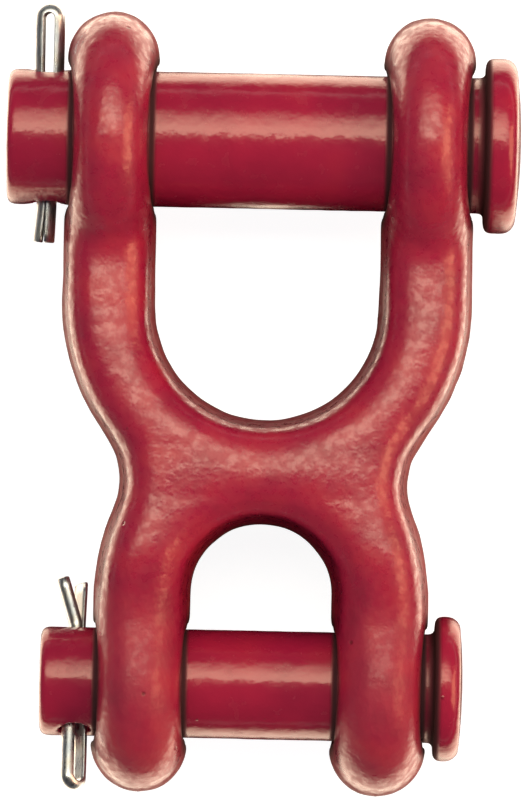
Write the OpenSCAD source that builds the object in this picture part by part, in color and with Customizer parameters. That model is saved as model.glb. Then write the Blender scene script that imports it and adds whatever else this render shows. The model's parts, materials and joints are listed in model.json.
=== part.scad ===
// Double clevis link: a forged H-shaped body with a large and a small clevis back
// to back, and in each clevis a headed pin that a split cotter keeps in place.
// Frame: X runs along the pins to their heads, Y along the link to the large clevis,
// and Z up from the back that the link lies on. The origin is on the large pin's
// axis, midway between the ears. Sizes are in millimetres, angles in degrees.

/* [Large clevis] */
// Gap between the two ears
large_gap = 32.6; // [29:0.1:37]
// Thickness of each ear, along the pin
large_ear_t = 13.7; // [12:0.1:16]
// Radius of the ears, round the pin axis
large_ear_r = 18.5; // [16.5:0.1:21]
// Width of the U at the foot of the arms
large_u_w = 32.7; // [30:0.1:37]
// Throat: from the pin axis to the bottom of the U
large_throat = 40.8; // [36:0.1:48]
// From the pin axis to where the outer edge starts to turn in
large_shoulder = 23.5; // [19:0.1:25]

/* [Small clevis] */
// Gap between the two ears
small_gap = 20.4; // [18.5:0.1:24]
// Thickness of each ear, along the pin
small_ear_t = 14.4; // [12.5:0.1:16]
// Radius of the ears, round the pin axis
small_ear_r = 15.9; // [14.2:0.1:18]
// Width of the U at the foot of the arms
small_u_w = 20.5; // [18.5:0.1:24]
// Throat: from the pin axis to the bottom of the U
small_throat = 23.6; // [21:0.1:28]
// From the pin axis to where the outer edge starts to turn in
small_shoulder = 11.8; // [10:0.1:14]

/* [Forging] */
// Height of the yoke between the two U bottoms
yoke_t = 15.1; // [13.5:0.1:19]
// Depth of the yoke at its deepest, front to back
yoke_depth = 30.8; // [27:0.1:33]
// How far below the middle of the yoke it is deepest
swell_drop = 12.4; // [8:0.1:14]
// Depth of the arms at the large ears, front to back
neck_depth = 22; // [20:0.1:28]
// Depth of the arms at the small ears, front to back
small_neck_depth = 26.8; // [24:0.1:29]
// Width across the waist
waist_w = 41.8; // [38:0.1:45]
// How far the waist lies below the middle of the yoke
waist_drop = 1.4; // [0:0.1:2.5]
// Fillet of the waist in the outline
waist_r = 10; // [8:0.5:14]
// Draft of the flanks
draft = 7; // [4:0.5:8]
// Rounding of the edges of the arms and the yoke
edge_r = 4.5; // [3:0.1:5]

/* [Large pin] */
// Diameter of the pin
large_pin_d = 19.8; // [17:0.1:21]
// Diameter of the head
large_head_d = 25.6; // [23:0.1:29]
// Thickness of the head at its middle
large_head_t = 5.3; // [4.5:0.1:7]
// End play between the head and the ear
large_head_gap = 1.3; // [0.5:0.1:2.5]
// From the cotter's axis to the plain end
large_pin_tail = 5.8; // [4.5:0.1:8]

/* [Small pin] */
// Diameter of the pin
small_pin_d = 15.9; // [14:0.1:17]
// Diameter of the head
small_head_d = 21.2; // [19:0.1:24]
// Thickness of the head at its middle
small_head_t = 4.2; // [3.8:0.1:6]
// End play between the head and the ear
small_head_gap = 0.9; // [0.5:0.1:2.5]
// From the cotter's axis to the plain end
small_pin_tail = 5.2; // [4.5:0.1:8]
// How far the pin is turned as it lies, raising its cotter's eye
small_pin_turn = 22; // [0:1:45]

/* [Pin details] */
// Radius of the domed face of the heads
dome_r = 90; // [60:1:120]
// Rounding of the rim of the heads
rim_r = 1.7; // [1:0.1:2.2]
// Rounding of the plain ends
pin_end_r = 1.1; // [0.5:0.1:2]
// Radial clearance of the pins in the ears
pin_clearance = 0.4; // [0.2:0.05:0.6]

/* [Large cotter] */
// Diameter of the two legs together
large_cotter_d = 2.9; // [2.4:0.1:3.2]
// Outside width of the eye
large_eye_w = 4.5; // [4:0.1:5]
// How far the eye stands out of the pin
large_eye_len = 9.7; // [7:0.1:12]
// Length of each leg beyond the pin
large_leg_len = 5.3; // [3.5:0.1:8]
// Bend of the leg that is nearer the plain end
large_outer_bend = 6; // [5:1:30]
// Bend of the leg that is nearer the ear
large_inner_bend = -2; // [-4:1:8]
// Turn of the eye about the cotter's own axis
large_cotter_turn = 6; // [0:1:60]
// Clearance between the cotter and the ear
large_cotter_gap = 0.3; // [0.3:0.05:1.5]

/* [Small cotter] */
// Diameter of the two legs together
small_cotter_d = 2.4; // [2:0.1:2.8]
// Outside width of the eye
small_eye_w = 4.4; // [3.8:0.1:5.2]
// How far the eye stands out of the pin
small_eye_len = 8.9; // [6.5:0.1:11]
// Length of each leg beyond the pin
small_leg_len = 7.2; // [5:0.1:10]
// Bend of the leg that is nearer the plain end
small_outer_bend = 25; // [5:1:35]
// Bend of the leg that is nearer the ear
small_inner_bend = 2; // [-4:1:8]
// Turn of the eye about the cotter's own axis
small_cotter_turn = 45; // [0:1:60]
// Clearance between the cotter and the ear
small_cotter_gap = 0.3; // [0.3:0.05:1.5]

/* [Cotter details] */
// Radial clearance of the cotters in the pins
cotter_clearance = 0.25; // [0.15:0.05:0.4]
// Inside radius of the bends of the legs
leg_bend_r = 3; // [2:0.5:5]
// Gap between the two legs where they lie together
leg_split = 0.1; // [0.05:0.05:0.3]

/* [Hidden] */
$fn = 96;

// Heights along the link
pitch = large_throat + yoke_t + small_throat;
yoke_y = -large_throat - yoke_t / 2;
waist_y = yoke_y - waist_drop;

// Half-widths at the ears' outer faces, at the parting plane
large_out = large_gap / 2 + large_ear_t;
small_out = small_gap / 2 + small_ear_t;

// A clevis as its outline sees it, and the names of its values
large_clevis = [large_gap / 2, large_u_w / 2, large_ear_t, large_ear_r, large_throat,
    large_shoulder, -waist_y];
small_clevis = [small_gap / 2, small_u_w / 2, small_ear_t, small_ear_r, small_throat,
    small_shoulder, pitch + waist_y];
function half_gap(c) = c[0];
function u_radius(c) = c[1];
function ear_thick(c) = c[2];
function ear_radius(c) = c[3];
function u_centre(c) = c[4] - c[1];
function shoulder(c) = c[5];
function waist_from_pin(c) = c[6];

// Steps of the outline: round the tip of an ear, down its straight side, round the U
// to abreast of the waist, and on to the middle of the yoke
tip_steps = 7;
side_steps = 15;
curve_steps = 8;
yoke_steps = 7;
curve_start = tip_steps + side_steps;
arm_steps = curve_start + curve_steps;

// Rows from the parting line inwards, as shares of the narrowest half-width
ROWS = [0, 0.03, 0.165, 0.225, 0.33, 0.48, 0.66, 0.86];
top_row = len(ROWS) - 1;
half_w = min(large_ear_t, small_ear_t, yoke_t) / 2;

// The rounding of the edges, limited so that a share of the crown is left between them
crown_share = 0.03;
crown_r = min(edge_r, (1 - crown_share) * (half_w - yoke_depth / 2 * tan(draft)));

function mix(a, b, t) = a + (b - a) * t;
function ease(t) = let (u = min(1, max(0, t))) u * u * (3 - 2 * u);
function smooth_max(a, b, k) = let (h = max(0, k - abs(a - b)) / k) max(a, b) + h * h * k / 4;
function reversed(list) = [for (i = [len(list) - 1:-1:0]) list[i]];
function arc(centre, r, from, to, steps) =
    [for (k = [0:steps]) let (a = mix(from, to, k / steps)) centre + r * [cos(a), sin(a)]];

// An S of two arcs that are tangent to each other and to both ends: how far it has
// come across after u of its length, for a total of across and a last radius of end_r
function s_curve(u, length, across, end_r) =
    let (
        radii = (length * length + across * across) / (2 * across),
        last = min(end_r, radii / 2),
        first = radii - last,
        turn = length / radii * first
    )
    u < turn ? first - sqrt(first * first - u * u)
        : across - last + sqrt(last * last - (length - u) * (length - u));

// Points of a clevis's outline, as [distance from the link's axis, distance from the
// pin axis towards the yoke], from the tip of an ear down the inner and the outer side
function tip_point(c, a) =
    let (r = ear_thick(c) / 2)
    [half_gap(c) + r * (1 + cos(a)), r * (1 - sin(a)) - ear_radius(c)];
function u_point(c, a) = [u_radius(c) * cos(a), u_centre(c) + u_radius(c) * sin(a)];
function waist_angle(c) = atan2(waist_from_pin(c) - u_centre(c), waist_w / 2);
function inner_side(c, k) =
    let (
        v = mix(ear_thick(c) / 2 - ear_radius(c), u_centre(c), (k - tip_steps) / side_steps),
        toe_in = ease(v / u_centre(c))
    )
    k < tip_steps ? tip_point(c, 90 + 90 * k / tip_steps)
        : k < curve_start ? [mix(half_gap(c), u_radius(c), toe_in), v]
        : u_point(c, waist_angle(c) * (k - curve_start) / curve_steps);
function outer_side(c, k) =
    let (
        v = mix(ear_thick(c) / 2 - ear_radius(c), shoulder(c), (k - tip_steps) / side_steps),
        out = half_gap(c) + ear_thick(c),
        length = waist_from_pin(c) - shoulder(c),
        u = length * (k - curve_start) / curve_steps
    )
    k < tip_steps ? tip_point(c, 90 - 90 * k / tip_steps)
        : k < curve_start ? [out, v]
        : [out - s_curve(u, length, out - waist_w / 2, waist_r), shoulder(c) + u];
function yoke_side(c, k) = u_point(c, mix(waist_angle(c), 90, k / yoke_steps));

// The left half of the parting line, from the middle of the large U round the large
// ear, down the outside, round the small ear and up to the middle of the small U
function large_xy(p) = [-p[0], -p[1]];
function small_xy(p) = [-p[0], p[1] - pitch];
left_line = concat(
    [for (k = [yoke_steps:-1:1]) large_xy(yoke_side(large_clevis, k))],
    [for (k = [arm_steps:-1:0]) large_xy(inner_side(large_clevis, k))],
    [for (k = [1:arm_steps]) large_xy(outer_side(large_clevis, k))],
    [for (k = [arm_steps - 1:-1:0]) small_xy(outer_side(small_clevis, k))],
    [for (k = [1:arm_steps]) small_xy(inner_side(small_clevis, k))],
    [for (k = [1:yoke_steps]) small_xy(yoke_side(small_clevis, k))]
);
half_count = len(left_line);
loop_count = 2 * half_count - 2;
large_tip = yoke_steps + arm_steps;
waist = large_tip + arm_steps;
small_tip = waist + arm_steps;

// Depth of the forging along the link, as the square of its half-depth: a disc round
// each pin axis, joined by the shank, which rises in a straight slope from either neck
// to a soft ridge and fades in the ears
shank_fade = 0.45;
fade_rate = 2;
blend_share = 0.4;
blend_sq = pow(blend_share * large_ear_r, 2);
ridge_share = 0.1;
ridge_y = yoke_y - swell_drop;
large_neck_y = -large_ear_r;
small_neck_y = small_ear_r / 2 - pitch;
function fall(t) = (norm([t, ridge_share]) - ridge_share) / (norm([1, ridge_share]) - ridge_share);
function shank_half(y) =
    let (
        neck_y = y > ridge_y ? large_neck_y : small_neck_y,
        depth = y > ridge_y ? neck_depth : small_neck_depth
    )
    mix(yoke_depth, depth, fall((y - ridge_y) / (neck_y - ridge_y))) / 2;
function shank_sq(y) =
    let (
        past_large = max(0, y + shank_fade * large_ear_r),
        past_small = max(0, shank_fade * small_ear_r - pitch - y)
    )
    pow(shank_half(y), 2) - fade_rate * (past_large * past_large + past_small * past_small);
function ear_sq(r, v) = r * r - v * v;
function depth_sq(y) =
    smooth_max(
        smooth_max(ear_sq(large_ear_r, y), shank_sq(y), blend_sq),
        ear_sq(small_ear_r, y + pitch),
        blend_sq
    );

// Rounding of the edge: full-round on the ears, the edge radius along the arms
function rounding(y, z) =
    let (
        lean = z * tan(draft),
        on_large = ease(1 + y / large_ear_r),
        on_small = ease(1 - (y + pitch) / small_ear_r)
    )
    mix(mix(crown_r, large_ear_t / 2 - lean, on_large), small_ear_t / 2 - lean, on_small);

// Height of the skin at d inside the flank's foot: where the drafted flank and the
// depth profile meet over the rounded edge, found by halving the interval
halvings = 22;
slope_step = 0.01;
function past_edge(d, y, z, sq, g) =
    let (
        r = rounding(y, z),
        a = d - z * tan(draft),
        b = g - sqrt(max(0, g * g - sq + z * z))
    )
    norm([max(0, r - a), max(0, r - b)]) > r;
function halving(d, y, sq, g, low, high, n) =
    let (z = (low + high) / 2)
    n == 0 ? z
        : past_edge(d, y, z, sq, g) ? halving(d, y, sq, g, low, z, n - 1)
        : halving(d, y, sq, g, z, high, n - 1);
function skin_z(d, y) =
    let (
        sq = max(0, depth_sq(y)),
        slope = (depth_sq(y + slope_step) - depth_sq(y - slope_step)) / (2 * slope_step),
        g = sqrt(sq + slope * slope / 4)
    )
    halving(d, y, sq, g, 0, sqrt(sq), halvings);

// Inward normal of the parting line at a point, and the distance from the flank's
// foot, which beyond a pin axis is measured across the ear
function across_axis(p) = [-p[0], p[1]];
function inward(i) =
    let (
        last = half_count - 1,
        before = i > 0 ? left_line[i - 1] : across_axis(left_line[1]),
        after = i < last ? left_line[i + 1] : across_axis(left_line[last - 1]),
        along = after - before
    )
    [-along[1], along[0]] / norm(along);
function flank_distance(x, y, offset) =
    y > 0 ? large_ear_t / 2 - abs(-x - large_out + large_ear_t / 2)
        : y < -pitch ? small_ear_t / 2 - abs(-x - small_out + small_ear_t / 2)
        : offset;
function skin_point(i, row) =
    let (
        offset = ROWS[row] * half_w,
        p = left_line[i] + offset * inward(i)
    )
    [p[0], p[1], row == 0 ? 0 : skin_z(flank_distance(p[0], p[1], offset), p[1])];
left_skin = [for (row = [0:top_row]) [for (i = [0:half_count - 1]) skin_point(i, row)]];

// The whole skin: rows from the back over the parting line to the front, each of them
// once round the outline, the right half mirrored
function loop_point(row, i) =
    let (
        p = i < half_count ? left_skin[abs(row)][i] : left_skin[abs(row)][loop_count - i],
        side = i < half_count ? 1 : -1
    )
    [side * p[0], p[1], sign(row) * p[2]];
skin = [for (row = [-top_row:top_row], i = [0:loop_count - 1]) loop_point(row, i)];

// Triangles between the rows, then rungs across the crowns of the arms and the yoke
function corner(row, i) = (row + top_row) * loop_count + i % loop_count;
function mirrored(i) = i == 0 || i == half_count - 1 ? i : loop_count - i;
function quad(a, b, c, d) = [[a, b, c], [a, c, d]];
function flipped(faces) = [for (f = faces) [f[0], f[2], f[1]]];
flank_faces = [
    for (row = [-top_row:top_row - 1], i = [0:loop_count - 1])
        each quad(corner(row, i), corner(row + 1, i), corner(row + 1, i + 1), corner(row, i + 1))
];
function arm_rungs(tip) = concat(
    [[tip, tip - 1, tip + 1]],
    [for (m = [1:arm_steps - 1]) each quad(tip - m, tip - m - 1, tip + m + 1, tip + m)]
);
yoke_rungs = [
    for (m = [0:yoke_steps - 1])
        each quad(m, half_count - 1 - m, half_count - 2 - m, m + 1)
];
crown = concat(arm_rungs(large_tip), arm_rungs(small_tip), yoke_rungs,
    [[yoke_steps, half_count - 1 - yoke_steps, waist]]);
left_front = [for (f = crown) [for (i = f) corner(top_row, i)]];
left_back = flipped([for (f = crown) [for (i = f) corner(-top_row, i)]]);
right_front = flipped([for (f = crown) [for (i = f) corner(top_row, mirrored(i))]]);
right_back = [for (f = crown) [for (i = f) corner(-top_row, mirrored(i))]];
skin_faces = concat(flank_faces, left_front, left_back, right_front, right_back);

module pin_bore(d, out) {
    rotate([0, 90, 0])
        cylinder(d = d + 2 * pin_clearance, h = 2 * (out + d), center = true);
}

module link_body() {
    color("firebrick")
        difference() {
            polyhedron(skin, skin_faces);
            pin_bore(large_pin_d, large_out);
            translate([0, -pitch, 0])
                pin_bore(small_pin_d, small_out);
        }
}

// How far a cotter reaches from its own axis towards the ear, with its eye or with the
// leg on that side, and where that puts the cotter along its pin
function eye_reach(d, eye_w, turn) = (eye_w - d) / 2 * cos(turn) + d / 2;
function leg_reach(d, leg_len, bend) = leg_split / 2 + d / 2 + leg_len * tan(max(0, bend));
large_cotter_x = -large_out - large_cotter_gap
    - max(eye_reach(large_cotter_d, large_eye_w, large_cotter_turn),
        leg_reach(large_cotter_d, large_leg_len, large_inner_bend));
small_cotter_x = -small_out - small_cotter_gap
    - max(eye_reach(small_cotter_d, small_eye_w, small_cotter_turn),
        leg_reach(small_cotter_d, small_leg_len, small_inner_bend));

// A pin turned about X: a rounded plain end, the shank, and a head with a domed face
// and a rounded rim, drilled across for its cotter
round_steps = 6;
module headed_pin(d, head_d, head_t, start, head_start, hole_x, eye_w) {
    rim_at = head_d / 2 - rim_r;
    dome_at = head_start + head_t - dome_r;
    rim_z = dome_at + sqrt(pow(dome_r - rim_r, 2) - rim_at * rim_at);
    rim_turn = atan2(rim_z - dome_at, rim_at);
    under_r = rim_r / 3;
    profile = concat(
        [[0, start]],
        arc([d / 2 - pin_end_r, start + pin_end_r], pin_end_r, -90, 0, round_steps),
        [[d / 2, head_start]],
        arc([head_d / 2 - under_r, head_start + under_r], under_r, -90, 0, round_steps),
        arc([rim_at, rim_z], rim_r, 0, rim_turn, round_steps),
        [for (k = [1:round_steps])
            let (a = mix(rim_turn, 90, k / round_steps))
            [dome_r * cos(a), dome_at + dome_r * sin(a)]]
    );
    difference() {
        rotate([0, 90, 0])
            rotate_extrude()
                polygon(profile);
        translate([hole_x, 0, 0])
            rotate([90, 0, 0])
                cylinder(d = eye_w + 2 * cotter_clearance, h = 2 * d, center = true);
    }
}

module large_pin() {
    color("firebrick")
        headed_pin(large_pin_d, large_head_d, large_head_t, large_cotter_x - large_pin_tail,
            large_out + large_head_gap, large_cotter_x, large_eye_w);
}

module small_pin() {
    color("firebrick")
        translate([0, -pitch, 0])
            rotate([-small_pin_turn, 0, 0])
                headed_pin(small_pin_d, small_head_d, small_head_t,
                    small_cotter_x - small_pin_tail, small_out + small_head_gap,
                    small_cotter_x, small_eye_w);
}

// One strand of a cotter from the top of its eye to the tip of its leg, as the line of
// its flat inner face: [place, outward normal], with the eye towards +Y. The eye stays
// open down to the pin, and the strands come together inside it
eye_steps = 6;
taper_steps = 5;
bend_steps = 4;
function strand(d, eye_w, pin_r, eye_len, leg_len, bend) =
    let (
        open = (eye_w - d) / 2,
        shut = leg_split / 2,
        eye_y = pin_r + eye_len - d / 2 - open,
        foot = -pin_r - cotter_clearance,
        turn = abs(bend),
        way = sign(bend),
        drop = leg_len - leg_bend_r * sin(turn)
    )
    concat(
        [for (k = [0:eye_steps])
            let (a = 90 - 90 * k / eye_steps)
            [[open * cos(a), eye_y + open * sin(a)], [cos(a), sin(a)]]],
        [for (k = [0:taper_steps])
            let (
                t = k / taper_steps,
                slope = (open - shut) / pin_r * sin(180 * t) * PI / 2
            )
            [[mix(open, shut, (1 - cos(180 * t)) / 2), mix(pin_r, 0, t)],
                [1, -slope] / norm([1, slope])]],
        [for (k = [0:bend_steps])
            let (a = turn * k / bend_steps)
            [[shut + way * leg_bend_r * (1 - cos(a)), foot - leg_bend_r * sin(a)],
                [cos(a), way * sin(a)]]],
        [[[shut + way * (leg_bend_r * (1 - cos(turn)) + drop * tan(turn)), foot - leg_len],
            [cos(turn), way * sin(turn)]]]
    );

// The half-round wire swept along both strands, the first one mirrored
wire_steps = 8;
function wire_ring(s, d, side) =
    [for (k = [0:wire_steps])
        let (
            a = mix(-90, 90, k / wire_steps),
            p = s[0] + d / 2 * cos(a) * s[1]
        )
        [side * p[0], p[1], d / 2 * sin(a)]];
module cotter(d, eye_w, pin_r, eye_len, leg_len, outer_bend, inner_bend) {
    outer = strand(d, eye_w, pin_r, eye_len, leg_len, outer_bend);
    inner = strand(d, eye_w, pin_r, eye_len, leg_len, inner_bend);
    rings = concat(
        [for (s = reversed(outer)) wire_ring(s, d, -1)],
        [for (i = [1:len(inner) - 1]) wire_ring(inner[i], d, 1)]
    );
    n = wire_steps + 1;
    last = (len(rings) - 1) * n;
    sides = [
        for (i = [0:len(rings) - 2], k = [0:n - 1])
            each quad(i * n + k, i * n + (k + 1) % n, (i + 1) * n + (k + 1) % n, (i + 1) * n + k)
    ];
    tips = [[for (k = [n - 1:-1:0]) k], [for (k = [0:n - 1]) last + k]];
    polyhedron([for (ring = rings) each ring], concat(sides, tips));
}

module large_cotter() {
    color("silver")
        translate([large_cotter_x, 0, 0])
            rotate([0, -large_cotter_turn, 0])
                cotter(large_cotter_d, large_eye_w, large_pin_d / 2, large_eye_len,
                    large_leg_len, large_outer_bend, large_inner_bend);
}

module small_cotter() {
    color("silver")
        translate([small_cotter_x, -pitch, 0])
            rotate([180 - small_pin_turn, 0, 0])
                rotate([0, -small_cotter_turn, 0])
                    cotter(small_cotter_d, small_eye_w, small_pin_d / 2, small_eye_len,
                        small_leg_len, small_outer_bend, small_inner_bend);
}

link_body();
large_pin();
small_pin();
large_cotter();
small_cotter();
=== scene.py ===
# %% [markdown]
# A double clevis link: a drop-forged H with a large and a small clevis back to back.
# A headed pin closes each clevis, and a split cotter keeps the pin in. The solids come
# first, as a fixed frame, and every visible piece is then dressed where its solid is.

# %% Load the frame
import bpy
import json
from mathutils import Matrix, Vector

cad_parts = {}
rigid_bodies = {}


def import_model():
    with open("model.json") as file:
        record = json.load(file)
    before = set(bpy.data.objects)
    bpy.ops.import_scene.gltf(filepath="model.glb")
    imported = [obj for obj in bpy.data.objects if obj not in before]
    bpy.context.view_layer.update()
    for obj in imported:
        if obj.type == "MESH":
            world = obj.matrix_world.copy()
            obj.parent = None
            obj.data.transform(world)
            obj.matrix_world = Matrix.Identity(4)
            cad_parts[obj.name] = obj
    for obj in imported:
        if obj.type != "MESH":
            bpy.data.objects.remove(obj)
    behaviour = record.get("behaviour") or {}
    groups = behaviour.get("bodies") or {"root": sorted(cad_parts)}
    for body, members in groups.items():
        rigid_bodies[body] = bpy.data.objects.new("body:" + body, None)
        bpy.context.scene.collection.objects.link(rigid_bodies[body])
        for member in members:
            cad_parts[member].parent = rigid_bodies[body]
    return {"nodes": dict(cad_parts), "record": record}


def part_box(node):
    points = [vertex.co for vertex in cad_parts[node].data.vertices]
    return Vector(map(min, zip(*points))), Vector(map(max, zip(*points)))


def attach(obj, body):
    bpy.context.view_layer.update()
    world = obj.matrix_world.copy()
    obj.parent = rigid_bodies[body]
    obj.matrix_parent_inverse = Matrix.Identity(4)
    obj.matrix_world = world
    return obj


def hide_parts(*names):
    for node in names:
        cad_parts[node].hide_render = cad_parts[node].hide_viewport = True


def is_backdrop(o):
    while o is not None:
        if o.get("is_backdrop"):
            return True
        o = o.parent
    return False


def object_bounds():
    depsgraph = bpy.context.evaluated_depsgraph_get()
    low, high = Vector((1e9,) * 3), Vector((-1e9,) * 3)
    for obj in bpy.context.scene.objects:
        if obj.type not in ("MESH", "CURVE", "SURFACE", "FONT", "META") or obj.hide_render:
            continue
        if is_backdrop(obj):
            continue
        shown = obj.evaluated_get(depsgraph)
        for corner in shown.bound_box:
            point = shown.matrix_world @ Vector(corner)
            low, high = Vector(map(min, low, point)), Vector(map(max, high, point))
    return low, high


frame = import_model()
cad_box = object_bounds()
print("nodes:", sorted(frame["nodes"]))

# %% [markdown]
# Sizes could be typed in again here, but they would fall behind when a solid changes.
# So they are read from the frame. The record's two mounts give the pin axes and radii,
# and the rest of a pin is measured on its own points: the plain end, the underside of
# the head and its rim. The body's points give the faces of the ears.

# %% Measure the pins
import json
import math
import bmesh
import bpy
from mathutils import Matrix, Vector, noise

mm = 0.001
mounts = {mount["name"]: mount for mount in frame["record"]["mounts"]}
body_low, body_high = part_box("link_body")
bore_rim_share = 0.8
head_step = 0.5 * mm


def points_of(node):
    return [vertex.co.copy() for vertex in frame["nodes"][node].data.vertices]


def from_axis(point, axis_y):
    return math.hypot(point.y - axis_y, point.z)


def ear_faces(axis_y, r):
    rims = [
        point.x for point in points_of("link_body")
        if from_axis(point, axis_y) < r + mm and abs(point.z) > bore_rim_share * r
    ]
    left = [x for x in rims if x < 0]
    right = [x for x in rims if x > 0]
    return [min(left), max(left), min(right), max(right)]


def measure_pin(node, mount):
    low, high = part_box(node)
    axis_y = mounts[mount]["pos_m"][1]
    r = mounts[mount]["dims"]["r_mm"] * mm
    head = [point for point in points_of(node) if from_axis(point, axis_y) > r + head_step]
    return {
        "axis_y": axis_y,
        "r": r,
        "start": low.x,
        "end": high.x,
        "head_x": min(point.x for point in head),
        "head_r": max(from_axis(point, axis_y) for point in head),
        "ear_faces": ear_faces(axis_y, r),
    }


large = measure_pin("large_pin", "large_clevis")
small = measure_pin("small_pin", "small_clevis")
large["ear_r"] = body_high.y - large["axis_y"]
small["ear_r"] = small["axis_y"] - body_low.y
for pin in (large, small):
    sizes = ("r", "start", "head_x", "end", "head_r", "ear_r")
    print("pin in mm:", {size: round(pin[size] / mm, 2) for size in sizes})
    print("ear faces in mm:", [round(x / mm, 2) for x in pin["ear_faces"]])

# %% [markdown]
# Each pin is drilled across for its cotter. The stretch of the cotter inside the pin
# shows where that hole is: midway between its two strands, and turned as they are. The
# turn is the main direction of those points, found from their second moments.

# %% Measure the cross holes
hole_clearance = 0.25 * mm
inside_share = 1.01


def measure_hole(pin, cotter):
    reach = pin["r"] * inside_share
    inside = [point for point in points_of(cotter) if from_axis(point, pin["axis_y"]) < reach]
    x = (min(point.x for point in inside) + max(point.x for point in inside)) / 2
    across = [(point.y - pin["axis_y"], point.z) for point in inside]
    mixed = sum(y * z for y, z in across)
    spread = sum(y * y - z * z for y, z in across)
    turn = math.atan2(2 * mixed, spread) / 2
    off_line = [abs(y * math.sin(turn) - z * math.cos(turn)) for y, z in across]
    widest = max(math.hypot(point.x - x, off) for point, off in zip(inside, off_line))
    return {"x": x, "turn": turn, "r": widest + hole_clearance}


large_hole = measure_hole(large, "large_cotter")
small_hole = measure_hole(small, "small_cotter")
for hole in (large_hole, small_hole):
    print("hole at x in mm:", round(hole["x"] / mm, 2), "radius:", round(hole["r"] / mm, 2))
    print("hole turned by degrees:", round(math.degrees(hole["turn"]), 1))

# %% [markdown]
# Every finish is a node material on Object coordinates, so that it keeps its scale and
# stays on the piece when the piece moves. One helper adds a node, sets its values and
# links what comes from other nodes. With it, a material reads as a recipe.

# %% Add nodes
def start_material(name):
    material = bpy.data.materials.new(name)
    material.use_nodes = True
    material.node_tree.nodes.clear()
    return material, material.node_tree


def add_node(tree, kind, inputs=None, **settings):
    made = tree.nodes.new(kind)
    for key, value in settings.items():
        setattr(made, key, value)
    for key, value in (inputs or {}).items():
        if isinstance(value, bpy.types.NodeSocket):
            tree.links.new(value, made.inputs[key])
        else:
            made.inputs[key].default_value = value
    return made


def finish_material(tree, inputs):
    shader = add_node(tree, "ShaderNodeBsdfPrincipled", inputs)
    add_node(tree, "ShaderNodeOutputMaterial", {"Surface": shader.outputs[0]})


print("nodes are named as in Blender", bpy.app.version_string)


# %% Work with values
def math_node(tree, operation, a, b=0.0):
    return add_node(tree, "ShaderNodeMath", {0: a, 1: b}, operation=operation).outputs[0]


def times(tree, a, b):
    return math_node(tree, "MULTIPLY", a, b)


def larger(tree, a, b):
    return math_node(tree, "MAXIMUM", a, b)


def vector_node(tree, operation, a, b=(0, 0, 0), output="Vector"):
    made = add_node(tree, "ShaderNodeVectorMath", {0: a, 1: b}, operation=operation)
    return made.outputs[output]


def step(tree, value, low, high, to_low=0.0, to_high=1.0):
    inputs = {0: value, 1: low, 2: high, 3: to_low, 4: to_high}
    return add_node(tree, "ShaderNodeMapRange", inputs, interpolation_type="SMOOTHSTEP").outputs[0]


print("a step from low to high runs smoothly, also where low is the greater")


# %% Work with patterns and colours
def object_coords(tree):
    return add_node(tree, "ShaderNodeTexCoord").outputs["Object"]


def grain(tree, coords, size, detail=2.0, rough=0.5):
    inputs = {"Vector": coords, "Scale": 1 / size, "Detail": detail, "Roughness": rough}
    return add_node(tree, "ShaderNodeTexNoise", inputs).outputs[0]


def ramp(tree, value, stops):
    made = add_node(tree, "ShaderNodeValToRGB", {0: value})
    elements = made.color_ramp.elements
    for element, (position, color) in zip(elements, (stops[0], stops[-1])):
        element.position = position
        element.color = (*color, 1)
    for position, color in stops[1:-1]:
        elements.new(position).color = (*color, 1)
    return made.outputs[0]


def blend_color(tree, factor, a, b):
    return add_node(tree, "ShaderNodeMix", {0: factor, 6: a, 7: b}, data_type="RGBA").outputs[2]


def bump(tree, height, depth, normal=None):
    inputs = {"Height": height, "Strength": 1.0, "Distance": depth}
    if normal is not None:
        inputs["Normal"] = normal
    return add_node(tree, "ShaderNodeBump", inputs).outputs[0]


print("a grain of 1 mm has the noise scale", round(1 / mm))

# %% [markdown]
# The link is enamelled red. A flat red would look like plastic: the enamel lies in
# uneven thickness, so its red runs from a deep crimson where it is thick to a warmer red
# where it is thin. A tint on the specular colour gives the pink of its highlights.

# %% Mix the enamel
deep_red = (0.27, 0.008, 0.036)
crimson = (0.335, 0.010, 0.041)
warm_red = (0.39, 0.016, 0.040)
shear_brown = (0.10, 0.012, 0.014, 1)
# The near-black of the painted shade round the bores and on the pins.
painted_shade_black = (0.012, 0.006, 0.010, 1)
gloss_level = 0.7
gloss_tint = (1, 0.70, 0.52, 1)
print("reds, from deep to warm:", deep_red, crimson, warm_red)

# %% [markdown]
# Small pits break up the coat. They could be modelled, but they are far finer than the
# net of the mesh, so they are bump: cells of a Voronoi pattern, of which only a share
# is used, each with a round dip at its middle.

# %% Pit the coat
pit_floor = 0.4


def pits(tree, coords, spacing, radius, share):
    cells = add_node(tree, "ShaderNodeTexVoronoi", {"Vector": coords, "Scale": 1 / spacing})
    pick = add_node(tree, "ShaderNodeSeparateColor", {0: cells.outputs["Color"]}).outputs[0]
    chosen = math_node(tree, "LESS_THAN", pick, share)
    rim = radius / spacing
    near = step(tree, cells.outputs["Distance"], rim, pit_floor * radius / spacing)
    return times(tree, near, chosen)


print("pits are flat over a share of their radius of", pit_floor)

# %% [markdown]
# Where a pin leaves its ear, the enamel round the mouth of the bore is darkened as painted
# shade. It is laid on by the distance from the pin's axis. The crowns of the small ears are
# rubbed duller than the rest, so a patch on top of each is found by its place along and across.

# %% Find the bores and the small crowns
bore_shade_reach = 4.0 * mm
bore_shade_full = 1.0 * mm
painted_shade_share = 0.9
ear_fade = (16 * mm, 8 * mm)
crown_side = (6 * mm, 4 * mm)
crown_rise = (9 * mm, 12 * mm)
small_ear_middle = (small["ear_faces"][2] + small["ear_faces"][3]) / 2


# Painted shade round the mouth of each bore, darkest next to the pin.
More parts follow.
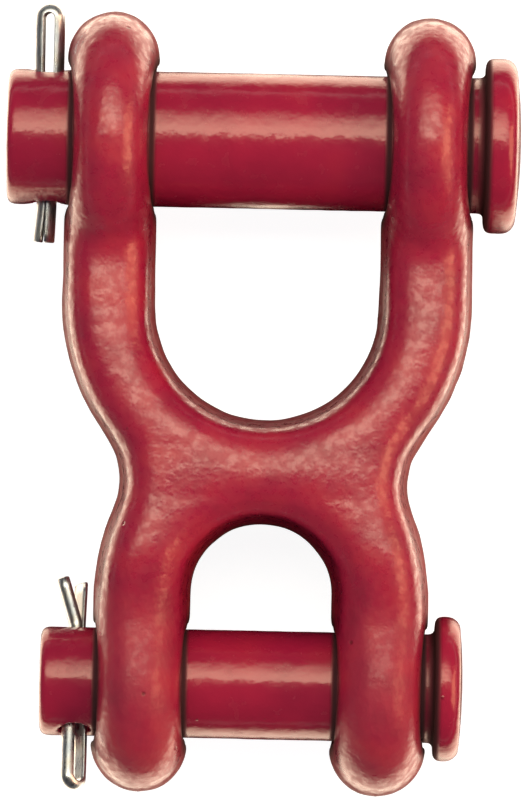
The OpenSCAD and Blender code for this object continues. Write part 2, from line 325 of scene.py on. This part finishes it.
def bore_painted_shade(tree, coords):
    painted_shade = 0.0
    for pin in (large, small):
        across = vector_node(tree, "SUBTRACT", coords, (0, pin["axis_y"], 0))
        across = vector_node(tree, "MULTIPLY", across, (0, 1, 1))
        off_axis = vector_node(tree, "LENGTH", across, output="Value")
        near = step(tree, off_axis, pin["r"] + bore_shade_reach, pin["r"] + bore_shade_full)
        painted_shade = larger(tree, near, painted_shade)
    return times(tree, painted_shade, painted_shade_share)


def small_ear_crown(tree, place, height):
    far, close = (small["axis_y"] + fade for fade in ear_fade)
    at_ear = step(tree, place.outputs["Y"], far, close)
    off_link = math_node(tree, "ABSOLUTE", place.outputs["X"])
    off_ear = math_node(tree, "ABSOLUTE", math_node(tree, "SUBTRACT", off_link, small_ear_middle))
    mid_ear = step(tree, off_ear, *crown_side)
    on_top = step(tree, height, *crown_rise)
    return times(tree, times(tree, at_ear, mid_ear), on_top)


print("small ears' middles at x in mm:", round(small_ear_middle / mm, 2))

# %% [markdown]
# On the forging the coat follows the skin below it. The zones are found by the height
# over the parting plane: the sheared line itself is brown and thin, the flanks beside
# it are dull and darkened a little as painted shade, and the crowns carry the full texture.

# %% Zones of the forging
shear_band = (2.0 * mm, 0.8 * mm)
flank_band = (5.0 * mm, 2.8 * mm)
crown_band = (5 * mm, 10 * mm)
flank_texture = 0.25


def forged_zones(tree, coords):
    place = add_node(tree, "ShaderNodeSeparateXYZ", {0: coords})
    height = math_node(tree, "ABSOLUTE", place.outputs["Z"])
    return {
        "shear": step(tree, height, *shear_band),
        "flank": step(tree, height, *flank_band),
        "crown": step(tree, height, *crown_band, flank_texture, 1.0),
        "ear_crown": small_ear_crown(tree, place, height),
        "bore": bore_painted_shade(tree, coords),
    }


print("flanks are dull up to a height in mm of", round(flank_band[0] / mm, 1))

# %% [markdown]
# The paint of a zone is mixed from the reds and the browns, and its gloss from blotches
# of a rougher and a smoother coat. Three bumps lie on each other: soft dimples, a fine
# peel, and the pits. The clear coat takes the same bumps, or it would shine too evenly.

# %% Paint and gloss on the forging
pool_size = 7 * mm
flank_shade_tone = 0.4
shear_tone = 0.8
pit_tone = 0.6
ear_crown_dull = 0.5
blotch_size = 1.3 * mm
blotch_range = (0.35, 0.65)
rough_range = (0.25, 0.40)
coat_range = (0.6, 0.15)
dull_rough = 0.35


def forged_paint(tree, coords, zones, pit):
    pool = grain(tree, coords, pool_size, 3.0)
    red = ramp(tree, pool, [(0.3, deep_red), (0.5, crimson), (0.72, warm_red)])
    # The flanks are darkened a little towards brown as painted shade.
    flank = times(tree, zones["flank"], flank_shade_tone)
    shear = times(tree, zones["shear"], shear_tone)
    dark = larger(tree, larger(tree, flank, shear), times(tree, pit, pit_tone))
    paint = blend_color(tree, dark, red, shear_brown)
    # The painted shade round the bores darkens the paint towards black.
    return blend_color(tree, zones["bore"], paint, painted_shade_black)


def forged_gloss(tree, coords, zones):
    dull = larger(tree, zones["flank"], zones["bore"])
    dull = larger(tree, dull, times(tree, zones["ear_crown"], ear_crown_dull))
    blotch = grain(tree, coords, blotch_size, 2.0)
    rough = step(tree, blotch, *blotch_range, *rough_range)
    rough = math_node(tree, "ADD", rough, times(tree, dull, dull_rough))
    coat = step(tree, blotch, *blotch_range, *coat_range)
    coat = times(tree, coat, math_node(tree, "SUBTRACT", 1.0, dull))
    return rough, coat


print("roughness of the coat from", rough_range[0], "to", rough_range[1] + dull_rough)

# %% Enamel on the forging
dimple_size = 0.95 * mm
dimple_depth = 0.055 * mm
peel_size = 1.1 * mm
peel_depth = 0.03 * mm
pit_spacing = 4.2 * mm
pit_radius = 0.45 * mm
pit_share = 0.25
pit_depth = 0.07 * mm


def forged_skin(tree, coords, crown, pit):
    dimples = grain(tree, coords, dimple_size, 1.0)
    peel = grain(tree, coords, peel_size, 3.0, 0.6)
    skin = bump(tree, times(tree, dimples, crown), dimple_depth)
    skin = bump(tree, times(tree, peel, crown), peel_depth, skin)
    return bump(tree, math_node(tree, "SUBTRACT", 1.0, pit), pit_depth, skin)


def forged_enamel():
    material, tree = start_material("forged_enamel")
    coords = object_coords(tree)
    zones = forged_zones(tree, coords)
    pit = pits(tree, coords, pit_spacing, pit_radius, pit_share)
    rough, coat = forged_gloss(tree, coords, zones)
    skin = forged_skin(tree, coords, zones["crown"], pit)
    finish_material(tree, {
        "Base Color": forged_paint(tree, coords, zones, pit),
        "Roughness": rough,
        "Specular IOR Level": gloss_level,
        "Specular Tint": gloss_tint,
        "Coat Weight": coat,
        "Coat Roughness": 0.24,
        "Coat Normal": skin,
        "Normal": skin,
    })
    return material


enamel_forged = forged_enamel()
print("finish:", enamel_forged.name, "nodes:", len(enamel_forged.node_tree.nodes))

# %% [markdown]
# The pins are turned bar under the same enamel. There the coat is even and glossy, with
# a gentle waviness, a few rubbed spots and some specks of dust in it. Under the head and
# at the faces of the ears the bar is painted dark as painted shade, in bands across its length.

# %% Painted shade on the pins
under_reach = 1.8 * mm
over_fade = (1.3 * mm, 0.3 * mm)
face_fade = (0.9 * mm, 0.1 * mm)


# Painted shade: dark bands under the head and where the pin leaves each ear.
def pin_painted_shade(tree, coords, pin):
    along = add_node(tree, "ShaderNodeSeparateXYZ", {0: coords}).outputs["X"]
    under = step(tree, along, pin["head_x"] - under_reach, pin["head_x"])
    past = step(tree, along, *(pin["head_x"] + fade for fade in over_fade))
    painted_shade = times(tree, under, past)
    for face_x in pin["ear_faces"]:
        off_face = math_node(tree, "ABSOLUTE", math_node(tree, "SUBTRACT", along, face_x))
        painted_shade = larger(tree, painted_shade, step(tree, off_face, *face_fade))
    return times(tree, painted_shade, painted_shade_share)


print("bands of grease on a pin:", 1 + len(large["ear_faces"]))

# %% Enamel on the pins
bar_pool_size = 11 * mm
rub_size = 2.2 * mm
rub_range = (0.52, 0.72)
rub_rough = (0.22, 0.33)
bar_peel_size = 1.6 * mm
bar_peel_depth = 0.06 * mm
fine_size = 0.7 * mm
fine_depth = 0.02 * mm
speck_spacing = 5 * mm
speck_radius = 0.35 * mm
speck_share = 0.35
speck_depth = 0.05 * mm
speck_tone = 0.5
bar_coat = 0.3


def turned_enamel(name, pin):
    material, tree = start_material(name)
    coords = object_coords(tree)
    painted_shade = pin_painted_shade(tree, coords, pin)
    pool = grain(tree, coords, bar_pool_size, 2.0)
    red = ramp(tree, pool, [(0.3, deep_red), (0.55, crimson), (0.8, warm_red)])
    rough = step(tree, grain(tree, coords, rub_size, 3.0), *rub_range, *rub_rough)
    speck = pits(tree, coords, speck_spacing, speck_radius, speck_share)
    skin = bump(tree, grain(tree, coords, bar_peel_size, 2.0), bar_peel_depth)
    skin = bump(tree, grain(tree, coords, fine_size, 1.0), fine_depth, skin)
    skin = bump(tree, speck, speck_depth, skin)
    paint = blend_color(tree, times(tree, speck, speck_tone), red, shear_brown)
    finish_material(tree, {
        # The bands of painted shade darken the paint, roughen it and take away the coat.
        "Base Color": blend_color(tree, painted_shade, paint, painted_shade_black),
        "Roughness": larger(tree, rough, painted_shade),
        "Specular IOR Level": gloss_level,
        "Specular Tint": gloss_tint,
        "Coat Weight": step(tree, painted_shade, 0.0, painted_shade_share, bar_coat, 0.0),
        "Coat Roughness": 0.12,
        "Coat Normal": skin,
        "Normal": skin,
    })
    return material


print("rubbed spots every", round(rub_size / mm, 1), "mm or so")

# %% [markdown]
# The cotters are bent from half-round steel wire with a bright zinc plate. The plate is
# drawn out along the wire in fine streaks and has a faint blue and straw bloom. The wire
# runs mostly along Y, so the streaks are a noise that is stretched that way.

# %% Zinc on the wire
streak_size = 0.25 * mm
streak_stretch = 0.08
streak_depth = 0.006 * mm
bloom_size = 3 * mm
zinc_blue = (0.56, 0.60, 0.64)
zinc_grey = (0.70, 0.71, 0.71)
zinc_straw = (0.72, 0.69, 0.62)


def zinc_wire():
    material, tree = start_material("bright_zinc")
    coords = object_coords(tree)
    stretch = {"Vector": coords, "Scale": (1, streak_stretch, 1)}
    along = add_node(tree, "ShaderNodeMapping", stretch).outputs[0]
    streak = grain(tree, along, streak_size, 2.0)
    bloom = grain(tree, coords, bloom_size, 2.0)
    finish_material(tree, {
        "Base Color": ramp(tree, bloom, [(0.3, zinc_blue), (0.5, zinc_grey), (0.7, zinc_straw)]),
        "Metallic": 1.0,
        "Roughness": step(tree, streak, 0.3, 0.7, 0.26, 0.42),
        "Normal": bump(tree, streak, streak_depth),
    })
    return material


zinc = zinc_wire()
print("finish:", zinc.name, "nodes:", len(zinc.node_tree.nodes))

# %% [markdown]
# A solid comes as long thin triangles, on which no fine texture can be raised. A voxel
# remesh lays an even net of small faces over it, and smoothing passes then round its
# edges the way a thick coat of enamel does. A subdivision surface would need a clean
# cage of quads, which the solid doesn't have.

# %% Lay an even skin
smooth_share = 0.5


def new_piece(name, mesh):
    piece = bpy.data.objects.new(name, mesh)
    bpy.context.scene.collection.objects.link(piece)
    return piece


def baked_mesh(piece):
    bpy.context.view_layer.update()
    graph = bpy.context.evaluated_depsgraph_get()
    mesh = bpy.data.meshes.new_from_object(piece.evaluated_get(graph))
    piece.modifiers.clear()
    piece.data = mesh
    mesh.name = piece.name
    return mesh


def smooth_skin(mesh, passes, chosen=None, upright_only=False):
    skin = bmesh.new()
    skin.from_mesh(mesh)
    verts = [vertex for vertex in skin.verts if chosen is None or chosen(vertex.co)]
    sideways = not upright_only
    for _ in range(passes):
        bmesh.ops.smooth_vert(
            skin, verts=verts, factor=smooth_share,
            use_axis_x=sideways, use_axis_y=sideways, use_axis_z=True)
    skin.to_mesh(mesh)
    skin.free()
    return len(verts)


def shade_smooth(mesh):
    mesh.polygons.foreach_set("use_smooth", [True] * len(mesh.polygons))


def even_skin(piece, voxel, passes):
    remesh = piece.modifiers.new("even_skin", "REMESH")
    remesh.mode = "VOXEL"
    remesh.voxel_size = voxel
    mesh = baked_mesh(piece)
    smooth_skin(mesh, passes)
    shade_smooth(mesh)
    return mesh


print("each smoothing pass moves a vertex by a share of", smooth_share)

# %% [markdown]
# The body is one drop forging. It starts as a copy of its solid, with the triangles
# merged into one skin, and gets its even net. The crowns are then smoothed upwards and
# downwards only, so that they lose the facets of the solid and keep their outline. The
# bores and the parting line stay sharp, because the passes leave them out.

# %% Forge the body
body_voxel = 0.51 * mm
body_passes = 8
crown_passes = 18
bore_margin = 1.5 * mm
parting_margin = 2 * mm
weld_distance = 1e-6


def copy_of(node):
    mesh = frame["nodes"][node].data.copy()
    mesh.materials.clear()
    skin = bmesh.new()
    skin.from_mesh(mesh)
    bmesh.ops.remove_doubles(skin, verts=skin.verts, dist=weld_distance)
    skin.to_mesh(mesh)
    skin.free()
    return mesh


def on_crown(point):
    clear_large = from_axis(point, large["axis_y"]) > large["r"] + bore_margin
    clear_small = from_axis(point, small["axis_y"]) > small["r"] + bore_margin
    return abs(point.z) > parting_margin and clear_large and clear_small


body = new_piece("forged_body", copy_of("link_body"))
body_mesh = even_skin(body, body_voxel, body_passes)
crown_count = smooth_skin(body_mesh, crown_passes, on_crown, upright_only=True)
print("forged body:", len(body_mesh.polygons), "faces,", crown_count, "points on the crowns")

# %% [markdown]
# Later steps raise or lower the skin along its normals, by a height that a function
# gives for each point. A Displace modifier could do it with a texture, but a function
# can also fade out round the bores, where the pins have to turn.

# %% Raise a skin
def push_out(mesh, height):
    skin = bmesh.new()
    skin.from_mesh(mesh)
    skin.normal_update()
    moves = [(vertex, vertex.normal * height(vertex.co, vertex.normal)) for vertex in skin.verts]
    for vertex, move in moves:
        vertex.co += move
    skin.to_mesh(mesh)
    skin.free()
    mesh.update()
    return max(move.length for vertex, move in moves)


def smooth_step(value, low, high):
    share = min(1.0, max(0.0, (value - low) / (high - low)))
    return share * share * (3 - 2 * share)


print("halfway up, a smooth step is at", smooth_step(0.5, 0.0, 1.0))

# %% [markdown]
# The yoke between the two clevises is slightly crowned. Its upper part swells by under
# half a millimetre and its lower part falls away, which lays one soft band of light
# across it. So small a swell shows only in the light, so it belongs to the finish.

# %% Crown the yoke
yoke_reach = 6 * mm
yoke_bend = 12.0
shoulder_reach = 6 * mm
shoulder_rise = 0.45 * mm
yoke_sides = (22 * mm, 8 * mm)
yoke_facing = (0.3, 0.8)
yoke_strip = 3 * mm
yoke_line = [point.y for point in points_of("link_body") if abs(point.x) < yoke_strip]
yoke_y = max(yoke_line) - (max(yoke_line) - min(yoke_line)) / 3


def yoke_crowning(point, normal):
    below = max(0.0, min(yoke_reach, yoke_y - point.y))
    shoulder = shoulder_rise * smooth_step(point.y - yoke_y, 0.0, shoulder_reach)
    on_yoke = smooth_step(abs(point.x), *yoke_sides) * smooth_step(abs(normal.z), *yoke_facing)
    return (shoulder - yoke_bend * below ** 2) * on_yoke


print("the yoke's crowning turns at y in mm:", round(yoke_y / mm, 2))

# %% [markdown]
# Hot steel keeps the marks of the dies: a lazy swell every few millimetres, finer lumps
# from scale between die and steel, and all round the flanks a low ridge where the flash
# was sheared off. Perlin noise gives the lumps, and the ridge follows the middle plane.
# All of it fades out at the bores, so that nothing rubs.

# %% Hammer the skin
swell_size = 6 * mm
swell_depth = 0.08 * mm
lump_size = 1.25 * mm
lump_depth = 0.03 * mm
lump_shift = Vector((7.3, 1.9, 4.4))
bore_clearance = 0.4 * mm


def clear_of_bore(point, pin):
    edge = pin["r"] + bore_clearance
    return smooth_step(from_axis(point, pin["axis_y"]), edge, pin["r"] + bore_margin)


def hammered(point):
    swell = swell_depth * noise.noise(point / swell_size)
    crown = flank_texture + (1 - flank_texture) * smooth_step(abs(point.z), *crown_band)
    return swell + crown * lump_depth * noise.noise(point / lump_size + lump_shift)


print("lumps up to", round((swell_depth + lump_depth) / mm, 2), "mm high")

# %% Shear the parting line
ridge_height = 0.15 * mm
ridge_half = 1.5 * mm
ridge_ragged = (0.75, 0.5)
ragged_size = 3 * mm
past_ear = (1.05, 1.35)
tip_facing = (0.5, 0.9)
tip_share = 0.8


def sheared_ridge(point, normal):
    shares = [from_axis(point, pin["axis_y"]) / pin["ear_r"] for pin in (large, small)]
    off_ears = smooth_step(min(shares), *past_ear)
    at_tip = smooth_step(abs(normal.y), *tip_facing) * any(share > tip_share for share in shares)
    ragged = ridge_ragged[0] + ridge_ragged[1] * noise.noise(point / ragged_size)
    ridge = ridge_height * ragged * max(0.0, 1 - (point.z / ridge_half) ** 2) ** 2
    return ridge * max(off_ears, at_tip)


def forged_height(point, normal):
    open_skin = min(clear_of_bore(point, large), clear_of_bore(point, small))
    marks = hammered(point) + sheared_ridge(point, normal)
    return open_skin * (marks + yoke_crowning(point, normal))


raised = push_out(body_mesh, forged_height)
body_mesh.materials.append(enamel_forged)
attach(body, "link")
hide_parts("link_body")
print("the forged skin moved by up to", round(raised / mm, 2), "mm")

# %% [markdown]
# A pin is a lathe job: a bar with a plain end, and a head with a domed face. Here too a
# half profile is spun about the axis, which gives true rounds. The rims are bevelled on
# the spun mesh, and its normals are recalculated first, because a spin can leave them
# pointing inwards.

# %% Turn the pins
dome_r = 90 * mm
end_round = 1.1 * mm
rim_round = 1.7 * mm
under_round = 1.0 * mm
neck_round = 0.5 * mm
round_segments = 6
lathe_steps = 192
dome_steps = 10
rim_tolerance = 0.01 * mm


def dome_sag(pin):
    return dome_r - math.sqrt(dome_r ** 2 - pin["head_r"] ** 2)


def pin_profile(pin):
    turn = math.asin(pin["head_r"] / dome_r)
    dome = [turn * (1 - k / dome_steps) for k in range(1, dome_steps + 1)]
    outline = [(pin["start"], 0), (pin["start"], pin["r"]), (pin["head_x"], pin["r"])]
    outline += [(pin["head_x"], pin["head_r"]), (pin["end"] - dome_sag(pin), pin["head_r"])]
    outline += [(pin["end"] - dome_r + dome_r * math.cos(a), dome_r * math.sin(a)) for a in dome]
    return outline


def rim_edges(lathe, x, r, axis_y):
    def on_rim(vertex):
        off_r = from_axis(vertex.co, axis_y) - r
        return abs(vertex.co.x - x) < rim_tolerance and abs(off_r) < rim_tolerance
    return [edge for edge in lathe.edges if all(on_rim(vertex) for vertex in edge.verts)]


def turn_pin(name, pin):
    lathe = bmesh.new()
    chain = [lathe.verts.new((x, pin["axis_y"] + r, 0)) for x, r in pin_profile(pin)]
    links = [lathe.edges.new(pair) for pair in zip(chain, chain[1:])]
    bmesh.ops.spin(
        lathe, geom=chain + links, cent=(0, pin["axis_y"], 0), axis=(1, 0, 0),
        angle=math.tau, steps=lathe_steps, use_merge=True)
    bmesh.ops.remove_doubles(lathe, verts=lathe.verts, dist=weld_distance)
    bmesh.ops.recalc_face_normals(lathe, faces=lathe.faces)
    rims = [
        (pin["start"], pin["r"], end_round),
        (pin["head_x"], pin["head_r"], under_round),
        (pin["end"] - dome_sag(pin), pin["head_r"], rim_round),
        (pin["head_x"], pin["r"], neck_round),
    ]
    for x, r, width in rims:
        bmesh.ops.bevel(
            lathe, geom=rim_edges(lathe, x, r, pin["axis_y"]), offset=width, offset_type="OFFSET",
            segments=round_segments, profile=0.5, affect="EDGES", material=-1)
    mesh = bpy.data.meshes.new(name)
    lathe.to_mesh(mesh)
    lathe.free()
    return new_piece(name, mesh)


print("the large head's dome rises by", round(dome_sag(large) / mm, 2), "mm")

# %% [markdown]
# Each pin is drilled across near its plain end for the cotter. A Boolean cuts the hole
# with a cylinder that is turned as the cotter is. The same remesh as on the body then
# softens the rim of the hole under the paint, and a faint waviness takes away the look
# of a perfect machine surface.

# %% Drill the pins
bit_segments = 64


def drill(piece, pin, hole):
    bit = bmesh.new()
    bmesh.ops.create_cone(
        bit, cap_ends=True, segments=bit_segments,
        radius1=hole["r"], radius2=hole["r"], depth=4 * pin["r"])
    lay = Matrix.Rotation(hole["turn"], 4, "X") @ Matrix.Rotation(math.pi / 2, 4, "X")
    seat = Matrix.Translation((hole["x"], pin["axis_y"], 0))
    bmesh.ops.transform(bit, matrix=seat @ lay, verts=bit.verts)
    mesh = bpy.data.meshes.new("drill_bit")
    bit.to_mesh(mesh)
    bit.free()
    cutter = new_piece("drill_bit", mesh)
    cut = piece.modifiers.new("cross_hole", "BOOLEAN")
    cut.operation = "DIFFERENCE"
    cut.solver = "EXACT"
    cut.object = cutter
    baked_mesh(piece)
    bpy.data.objects.remove(cutter)


print("a bit has", bit_segments, "sides")

# %% Coat the pins
pin_voxel = 0.36 * mm
pin_passes = 4
wave_size = 9 * mm
wave_depth = 0.02 * mm
wave_shift = Vector((3.1, 5.7, 2.2))
ripple_size = 1.8 * mm
ripple_depth = 0.03 * mm


def bar_height(point, normal):
    wave = wave_depth * noise.noise(point / wave_size + wave_shift)
    return wave + ripple_depth * noise.noise(point / ripple_size)


def finish_pin(name, pin, hole, body_name, node):
    piece = turn_pin(name, pin)
    drill(piece, pin, hole)
    mesh = even_skin(piece, pin_voxel, pin_passes)
    push_out(mesh, bar_height)
    mesh.materials.append(turned_enamel(name + "_enamel", pin))
    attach(piece, body_name)
    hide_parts(node)
    print(name, len(mesh.polygons), "faces")


finish_pin("large_headed_pin", large, large_hole, "large_pin", "large_pin")
finish_pin("small_headed_pin", small, small_hole, "small_pin", "small_pin")

# %% [markdown]
# A cotter's solid is already the swept half-round wire, in long thin triangles. Joined
# back into quads it takes a subdivision surface well, with creases that keep the flat
# inner face and the sheared tips. A remesh would need very small voxels for so thin a
# wire.

# %% Dress the cotters
crease_angle = math.radians(40)
crease_share = 0.75
quad_bend = math.radians(35)
quad_skew = math.radians(60)
round_levels = 2


def dress_cotter(name, node, body_name):
    mesh = copy_of(node)
    wire = bmesh.new()
    wire.from_mesh(mesh)
    bmesh.ops.join_triangles(
        wire, faces=wire.faces, angle_face_threshold=quad_bend, angle_shape_threshold=quad_skew)
    creases = wire.edges.layers.float.new("crease_edge")
    for edge in wire.edges:
        if edge.is_manifold and edge.calc_face_angle() > crease_angle:
            edge[creases] = crease_share
    wire.to_mesh(mesh)
    wire.free()
    piece = new_piece(name, mesh)
    rounding = piece.modifiers.new("rounding", "SUBSURF")
    rounding.levels = round_levels
    rounding.render_levels = round_levels
    shade_smooth(mesh)
    mesh.materials.append(zinc)
    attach(piece, body_name)
    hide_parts(node)
    print(name, len(mesh.polygons), "faces before rounding")


dress_cotter("large_split_cotter", "large_cotter", "large_pin")
dress_cotter("small_split_cotter", "small_cotter", "small_pin")

# %% [markdown]
# The link lies on white paper. To the camera the paper glows almost white and keeps a
# faint shadow of the link. In the enamel only the paper close round the link is seen, as
# a warm glow that fades outwards and into the contact shadow. That draws the cream lines
# along the rims. Light Path tells the two kinds of ray apart.

# %% White paper
paper_grey = (0.42, 0.42, 0.42, 1)
black = (0, 0, 0, 1)
white = (1, 1, 1, 1)
table_warm = (1, 0.82, 0.64, 1)
camera_glow = 0.9
table_glow = 3.1
pool_fade = (0.07, 0.02)
contact_reach = 0.02
contact_range = (0.72, 0.96)


def reflected_ray(tree, path):
    return larger(tree, path.outputs["Is Glossy Ray"], path.outputs["Is Transmission Ray"])


def table_pool(tree, middle, half):
    away = vector_node(tree, "SUBTRACT", object_coords(tree), middle)
    away = vector_node(tree, "ABSOLUTE", away)
    away = vector_node(tree, "SUBTRACT", away, half)
    away = vector_node(tree, "MAXIMUM", away)
    pool = step(tree, vector_node(tree, "LENGTH", away, output="Value"), *pool_fade)
    # The glow is darkened near the link by ambient occlusion, a painted contact shadow.
    contact = add_node(tree, "ShaderNodeAmbientOcclusion", {"Distance": contact_reach})
    return times(tree, pool, step(tree, contact.outputs["AO"], *contact_range))


def white_paper(middle, half):
    material, tree = start_material("white_floor")
    path = add_node(tree, "ShaderNodeLightPath")
    seen = path.outputs["Is Camera Ray"]
    mirrored = reflected_ray(tree, path)
    grey = blend_color(tree, mirrored, paper_grey, black)
    paper = add_node(tree, "ShaderNodeBsdfDiffuse", {"Color": grey})
    table = times(tree, table_pool(tree, middle, half), table_glow)
    strength = math_node(tree, "ADD", times(tree, seen, camera_glow), times(tree, mirrored, table))
    tint = blend_color(tree, seen, table_warm, white)
    glow = add_node(tree, "ShaderNodeEmission", {"Color": tint, "Strength": strength})
    both = add_node(tree, "ShaderNodeAddShader", {0: paper.outputs[0], 1: glow.outputs[0]})
    add_node(tree, "ShaderNodeOutputMaterial", {"Surface": both.outputs[0]})
    return material


print("the table's glow fades out", pool_fade[0], "m from the link")

# %% [markdown]
# The link rests on the rims of its four ears. The small ears are lower than the large
# ones, so a level link would hang over a level floor. The solids can't be moved, so the
# floor is laid at that slight slant under them.

# %% Lay the floor
floor_half = 2.0
upright_room = Vector((0, 0, 1))
middle = (cad_box[0] + cad_box[1]) / 2
half = (cad_box[1] - cad_box[0]) / 2 + upright_room
slant = math.asin((large["ear_r"] - small["ear_r"]) / (large["axis_y"] - small["axis_y"]))
floor_drop = large["ear_r"] / math.cos(slant)
sheet = bmesh.new()
bmesh.ops.create_grid(sheet, x_segments=1, y_segments=1, size=floor_half)
bmesh.ops.transform(sheet, matrix=Matrix.Rotation(-slant, 4, "X"), verts=sheet.verts)
bmesh.ops.translate(sheet, vec=(0, 0, -floor_drop), verts=sheet.verts)
floor_mesh = bpy.data.meshes.new("white_sweep")
sheet.to_mesh(floor_mesh)
sheet.free()
floor = new_piece("white_sweep", floor_mesh)
floor_mesh.materials.append(white_paper(middle, half))
floor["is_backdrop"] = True
print("floor slant in degrees:", round(math.degrees(slant), 2))

# %% [markdown]
# One wide softbox hangs above the link and a little towards the large clevis, so that
# its edge shows as the long bright bands on the pins. A warm panel on the side of the
# heads gives the orange edge to the crowns. Each is set by the angles between which it
# is seen from the link, because those angles place its reflection.

# %% Light the link
key_rise = 2.0
key_across = (-37, 41)
key_along = (8, 52)
key_radiance = 1.7
key_color = (1, 0.95, 0.80)
key_spread = math.radians(100)
warm_x = 1.5
warm_y = -0.04
warm_up = (14, 50)
warm_width = 1.34
warm_radiance = 3.8
warm_color = (1, 0.58, 0.36)


def span(distance, angles):
    near, far = (distance * math.tan(math.radians(angle)) for angle in angles)
    return (near + far) / 2, far - near


def soft_panel(name, place, aim, size, radiance, color):
    lamp = bpy.data.lights.new(name, "AREA")
    lamp.shape = "RECTANGLE"
    lamp.size = size[0]
    lamp.size_y = size[1]
    lamp.energy = math.pi * size[0] * size[1] * radiance
    lamp.color = color
    panel = bpy.data.objects.new(name, lamp)
    panel.location = place
    panel.rotation_mode = "QUATERNION"
    panel.rotation_quaternion = (Vector(aim) - Vector(place)).to_track_quat("-Z", "Y")
    panel.visible_camera = False
    bpy.context.scene.collection.objects.link(panel)
    print(name, "in m:", round(size[0], 2), "by", round(size[1], 2))
    return panel


key_x, key_width = span(key_rise, key_across)
key_y, key_depth = span(key_rise, key_along)
key_place = (key_x, key_y, key_rise)
key_aim = (key_x, key_y, 0)
key = soft_panel("key_softbox", key_place, key_aim, (key_width, key_depth), key_radiance, key_color)
key.data.spread = key_spread
warm_z, warm_height = span(warm_x, warm_up)
warm_place = (warm_x, warm_y, warm_z)
warm_aim = (0, warm_y, warm_z)
soft_panel("warm_panel", warm_place, warm_aim, (warm_width, warm_height), warm_radiance, warm_color)

# %% [markdown]
# The rest of the room is dim. The camera sees a white backdrop, the enamel sees a bright
# horizon under a dark ceiling, and everything else gets an even grey fill. One World
# holds all three, again told apart by Light Path.

# %% Dim the room
fill_grey = (0.41, 0.41, 0.45, 1)
backdrop_stops = [(0.0, (1, 1, 1)), (1.0, (0.75, 0.75, 0.77))]
backdrop_rise = 0.5
horizon_stops = [(0.0, (1, 1, 1)), (1.0, (0.03, 0.03, 0.035))]
horizon_rise = 0.14


def dim_room():
    world = bpy.data.worlds.new("dim_room")
    world.use_nodes = True
    tree = world.node_tree
    tree.nodes.clear()
    path = add_node(tree, "ShaderNodeLightPath")
    way = add_node(tree, "ShaderNodeTexCoord").outputs["Generated"]
    rise = add_node(tree, "ShaderNodeSeparateXYZ", {0: way}).outputs["Z"]
    backdrop = ramp(tree, step(tree, rise, 0.0, backdrop_rise), backdrop_stops)
    horizon = ramp(tree, step(tree, rise, 0.0, horizon_rise), horizon_stops)
    shade = blend_color(tree, reflected_ray(tree, path), fill_grey, horizon)
    shade = blend_color(tree, path.outputs["Is Camera Ray"], shade, backdrop)
    sky = add_node(tree, "ShaderNodeBackground", {"Color": shade, "Strength": 1.0})
    add_node(tree, "ShaderNodeOutputWorld", {"Surface": sky.outputs[0]})
    return world


bpy.context.scene.world = dim_room()
print("world:", bpy.context.scene.world.name)

# %% [markdown]
# The link is seen straight from above through a long lens, and it lies a little askew in
# the picture. So the camera hangs high above it, and its roll is that turn. The lens
# follows from the scale of the picture, in pixels for each millimetre.

# %% Set the camera
frame_height_px = 800
px_per_mm = 6.8375
camera_height = 1.2
camera_roll = math.radians(1.2)
aim_x = -0.3 * mm
aim_y = -37.8 * mm

lens = bpy.data.cameras.new("camera")
lens.sensor_width = 36
lens.lens = lens.sensor_width * camera_height / (frame_height_px / px_per_mm * mm)
camera = bpy.data.objects.new("camera", lens)
camera.location = (aim_x, aim_y, camera_height)
camera.rotation_euler = (0, 0, camera_roll)
bpy.context.scene.collection.objects.link(camera)
bpy.context.scene.camera = camera
bpy.context.scene.view_settings.view_transform = "Standard"
print("lens in mm:", round(lens.lens, 1))

# %% [markdown]
# The dressing must not change the size of the link.

# %% Check the size
shown_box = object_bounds()
for solid, shown in zip(cad_box, shown_box):
    print("dressed corner off the solid's in mm:", [round(d / mm, 3) for d in shown - solid])
